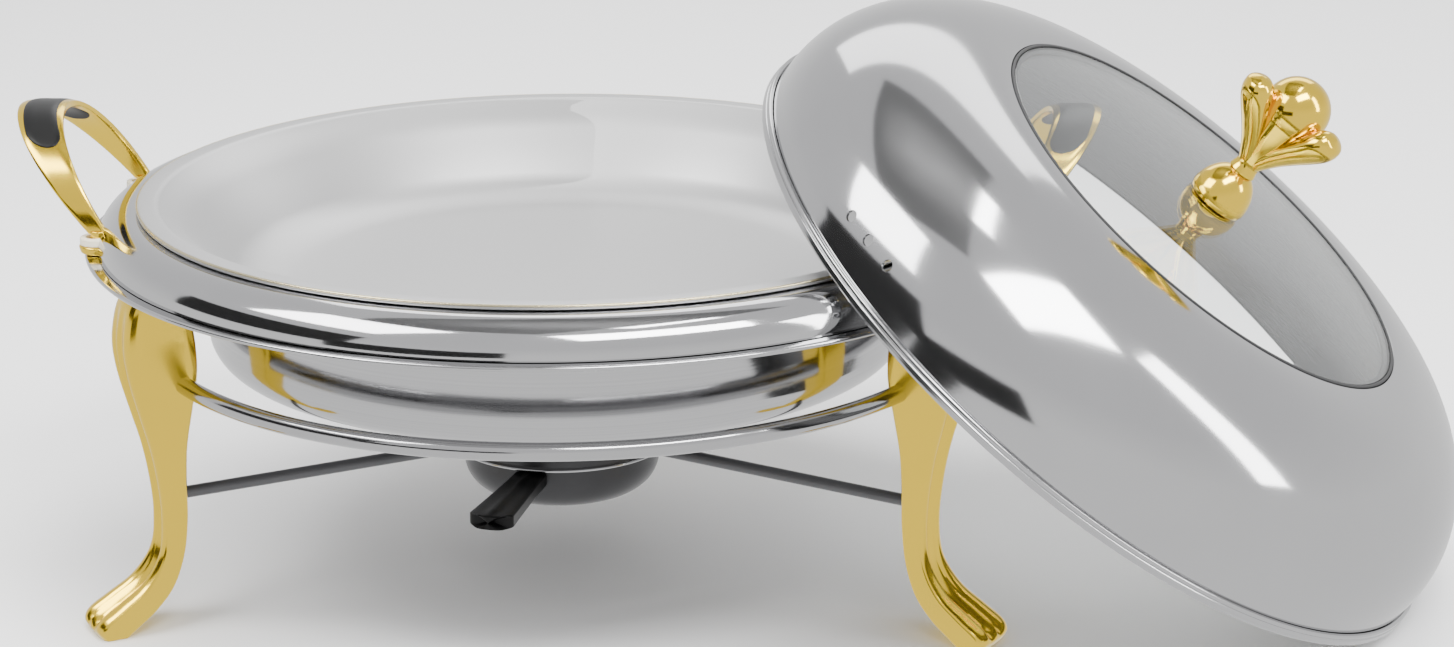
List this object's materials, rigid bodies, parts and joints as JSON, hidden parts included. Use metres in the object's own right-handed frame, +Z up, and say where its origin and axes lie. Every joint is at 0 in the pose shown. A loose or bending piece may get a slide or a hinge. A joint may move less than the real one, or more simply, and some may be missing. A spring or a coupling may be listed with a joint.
{
  "type": "chafing dish food warmer",
  "caption": "Round buffet food warmer: tripod stand with a burner, water pan, lift-out food pan and domed lid with a glass window, set down leaning on its handle.",
  "frame": {"origin": "on the floor, under the middle of the whole footprint, which the leaning lid widens; the dish's axis stands at x -0.0673, y -0.0066", "axes": "+Z up, +X to the side the lid leans on (longest extent), -Y to the front, where the burner's lever points"},
  "size_m": [0.5332, 0.3612, 0.2124],
  "materials": {
    "gold": "polished pale gold",
    "polished_steel": "mirror polished",
    "satin_steel": "satin",
    "dark_steel": "dark grey satin",
    "black_plastic": "matte black, heat resistant",
    "rubber": "matte",
    "glass": "clear",
    "wadding": "fibrous"
  },
  "bodies": {
    "stand": {"leg_front_left": "gold", "leg_front_right": "gold", "leg_rear": "gold", "support_ring": "polished_steel", "brace_front_left": "dark_steel", "brace_front_right": "dark_steel", "brace_rear": "dark_steel", "burner_holder": "dark_steel"},
    "burner": {"burner_cup": "dark_steel", "burner_lever": "black_plastic", "lever_rivet": "dark_steel"},
    "fuel": {"fuel_pot": "polished_steel", "fuel_wadding": "wadding", "flame_ring": "dark_steel"},
    "pan": {"water_pan": "polished_steel", "pan_shoulder": "polished_steel", "handle_left": "gold", "handle_left_inlay": "black_plastic", "handle_right": "gold", "handle_right_inlay": "black_plastic", "handle_ferrule_left_front": "gold", "handle_ferrule_left_back": "gold", "handle_ferrule_right_front": "gold", "handle_ferrule_right_back": "gold", "handle_screw_left_front": "polished_steel", "handle_screw_left_back": "polished_steel", "handle_screw_right_front": "polished_steel", "handle_screw_right_back": "polished_steel"},
    "food": {"food_pan": "satin_steel"},
    "lid": {"lid_shell": "polished_steel", "lid_rim_band": "polished_steel", "lid_glass": "glass", "glass_seal": "rubber", "knob_base": "gold", "knob_body": "gold", "knob_washer": "gold", "knob_screw": "gold"}
  },
  "joints": [
    {"name": "burner_turn", "type": "hinge", "parent": "stand", "child": "burner", "pos_m": [-0.06733, -0.00664, 0.0475], "axis": [0, 0, 1], "range_deg": [-45, 45]},
    {"name": "fuel_pot_lift", "type": "slide", "parent": "burner", "child": "fuel", "axis": [0, 0, 1], "range_m": [0, 0.029]},
    {"name": "water_pan_lift", "type": "slide", "parent": "stand", "child": "pan", "axis": [0, 0, 1], "range_m": [0, 0.1]},
    {"name": "food_pan_lift", "type": "slide", "parent": "pan", "child": "food", "axis": [0, 0, 1], "range_m": [0, 0.08]},
    {"name": "lid_lift", "type": "slide", "parent": "food", "child": "lid", "axis": [0.5943, -0.1615, 0.7879], "range_m": [0, 0.2]}
  ]
}
